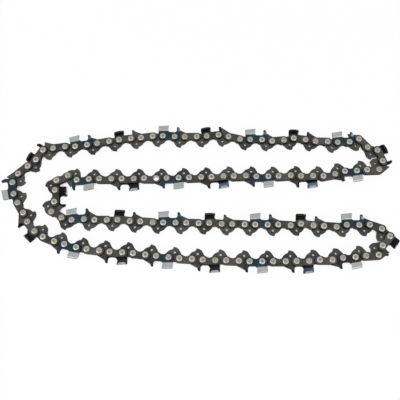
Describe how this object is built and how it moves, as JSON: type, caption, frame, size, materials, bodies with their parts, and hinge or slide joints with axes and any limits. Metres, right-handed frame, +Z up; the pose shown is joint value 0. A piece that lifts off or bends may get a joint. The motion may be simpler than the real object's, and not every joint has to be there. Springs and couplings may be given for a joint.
{
  "type": "chainsaw chain loop",
  "caption": "Loop of saw chain lying folded on its side, with blued cutters, hooked drive links, tie straps and rivets.",
  "frame": {"origin": "middle of the loop's outline on the surface it lies on", "axes": "+X along the long runs, +Y across them towards the top run, +Z up along the rivets"},
  "size_m": [0.2894, 0.1132, 0.0056],
  "materials": {
    "dark_link_steel": "dark phosphate, satin",
    "blued_cutter_steel": "blued, with bright plated side and top plates",
    "bright_rivet_steel": "bright, satin"
  },
  "bodies": {
    "short_end": {"short_end_tie_straps": "dark_link_steel", "short_end_rivets": "bright_rivet_steel", "short_end_plain_drive_links": "dark_link_steel", "short_end_left_cutters": "blued_cutter_steel", "short_end_bumper_drive_links": "dark_link_steel", "short_end_right_cutters": "blued_cutter_steel"},
    "inner_bend": {"inner_bend_tie_straps": "dark_link_steel", "inner_bend_rivets": "bright_rivet_steel", "inner_bend_plain_drive_links": "dark_link_steel", "inner_bend_left_cutters": "blued_cutter_steel", "inner_bend_bumper_drive_links": "dark_link_steel"},
    "inner_run": {"inner_run_plain_drive_links": "dark_link_steel", "inner_run_right_cutters": "blued_cutter_steel", "inner_run_tie_straps": "dark_link_steel", "inner_run_rivets": "bright_rivet_steel", "inner_run_bumper_drive_links": "dark_link_steel", "inner_run_left_cutters": "blued_cutter_steel"},
    "lower_fold": {"lower_fold_plain_drive_links": "dark_link_steel", "lower_fold_right_cutters": "blued_cutter_steel", "lower_fold_tie_straps": "dark_link_steel", "lower_fold_rivets": "bright_rivet_steel", "lower_fold_bumper_drive_links": "dark_link_steel", "lower_fold_left_cutters": "blued_cutter_steel"},
    "bottom_run": {"bottom_run_right_cutters": "blued_cutter_steel", "bottom_run_tie_straps": "dark_link_steel", "bottom_run_rivets": "bright_rivet_steel", "bottom_run_bumper_drive_links": "dark_link_steel", "bottom_run_plain_drive_links": "dark_link_steel", "bottom_run_left_cutters": "blued_cutter_steel"},
    "left_bend": {"left_bend_right_cutters": "blued_cutter_steel", "left_bend_tie_straps": "dark_link_steel", "left_bend_rivets": "bright_rivet_steel", "left_bend_bumper_drive_links": "dark_link_steel", "left_bend_plain_drive_links": "dark_link_steel", "left_bend_left_cutters": "blued_cutter_steel"},
    "top_run": {"top_run_plain_drive_links": "dark_link_steel", "top_run_right_cutters": "blued_cutter_steel", "top_run_tie_straps": "dark_link_steel", "top_run_rivets": "bright_rivet_steel", "top_run_bumper_drive_links": "dark_link_steel", "top_run_left_cutters": "blued_cutter_steel"},
    "upper_fold": {"upper_fold_bumper_drive_links": "dark_link_steel", "upper_fold_tie_straps": "dark_link_steel", "upper_fold_rivets": "bright_rivet_steel", "upper_fold_plain_drive_links": "dark_link_steel", "upper_fold_left_cutters": "blued_cutter_steel"},
    "long_end": {"long_end_right_cutters": "blued_cutter_steel", "long_end_tie_straps": "dark_link_steel", "long_end_rivets": "bright_rivet_steel", "long_end_bumper_drive_links": "dark_link_steel", "long_end_plain_drive_links": "dark_link_steel", "long_end_left_cutters": "blued_cutter_steel"}
  },
  "joints": [
    {"name": "upper_arm_swing", "type": "hinge", "parent": "left_bend", "child": "top_run", "pos_m": [-0.09999, 0.03889, 0.0028], "axis": [0, 0, 1], "range_deg": [-3, 16]},
    {"name": "upper_fold_turn", "type": "hinge", "parent": "top_run", "child": "upper_fold", "pos_m": [0.11309, 0.04276, 0.0028], "axis": [0, 0, 1], "range_deg": [-16, 3]},
    {"name": "long_end_swing", "type": "hinge", "parent": "upper_fold", "child": "long_end", "pos_m": [0.11675, 0.0199, 0.0028], "axis": [0, 0, 1], "range_deg": [-3, 16]},
    {"name": "lower_arm_swing", "type": "hinge", "parent": "left_bend", "child": "bottom_run", "pos_m": [-0.08682, -0.03766, 0.0028], "axis": [0, 0, -1], "range_deg": [-3, 20]},
    {"name": "lower_fold_turn", "type": "hinge", "parent": "bottom_run", "child": "lower_fold", "pos_m": [0.1106, -0.04462, 0.0028], "axis": [0, 0, -1], "range_deg": [-20, 3]},
    {"name": "inner_run_swing", "type": "hinge", "parent": "lower_fold", "child": "inner_run", "pos_m": [0.09874, -0.02282, 0.0028], "axis": [0, 0, -1], "range_deg": [-3, 20]},
    {"name": "inner_bend_turn", "type": "hinge", "parent": "inner_run", "child": "inner_bend", "pos_m": [-0.09878, -0.01591, 0.0028], "axis": [0, 0, -1], "range_deg": [-20, 3]},
    {"name": "short_end_swing", "type": "hinge", "parent": "inner_bend", "child": "short_end", "pos_m": [-0.09638, 0.0162, 0.0028], "axis": [0, 0, 1], "range_deg": [-3, 16]}
  ],
  "couplings": [
    {"joint": "upper_fold_turn", "follows": "upper_arm_swing", "ratio": -1},
    {"joint": "long_end_swing", "follows": "upper_arm_swing", "ratio": 1},
    {"joint": "short_end_swing", "follows": "upper_arm_swing", "ratio": 1},
    {"joint": "lower_fold_turn", "follows": "lower_arm_swing", "ratio": -1},
    {"joint": "inner_run_swing", "follows": "lower_arm_swing", "ratio": 1},
    {"joint": "inner_bend_turn", "follows": "lower_arm_swing", "ratio": -1}
  ]
}
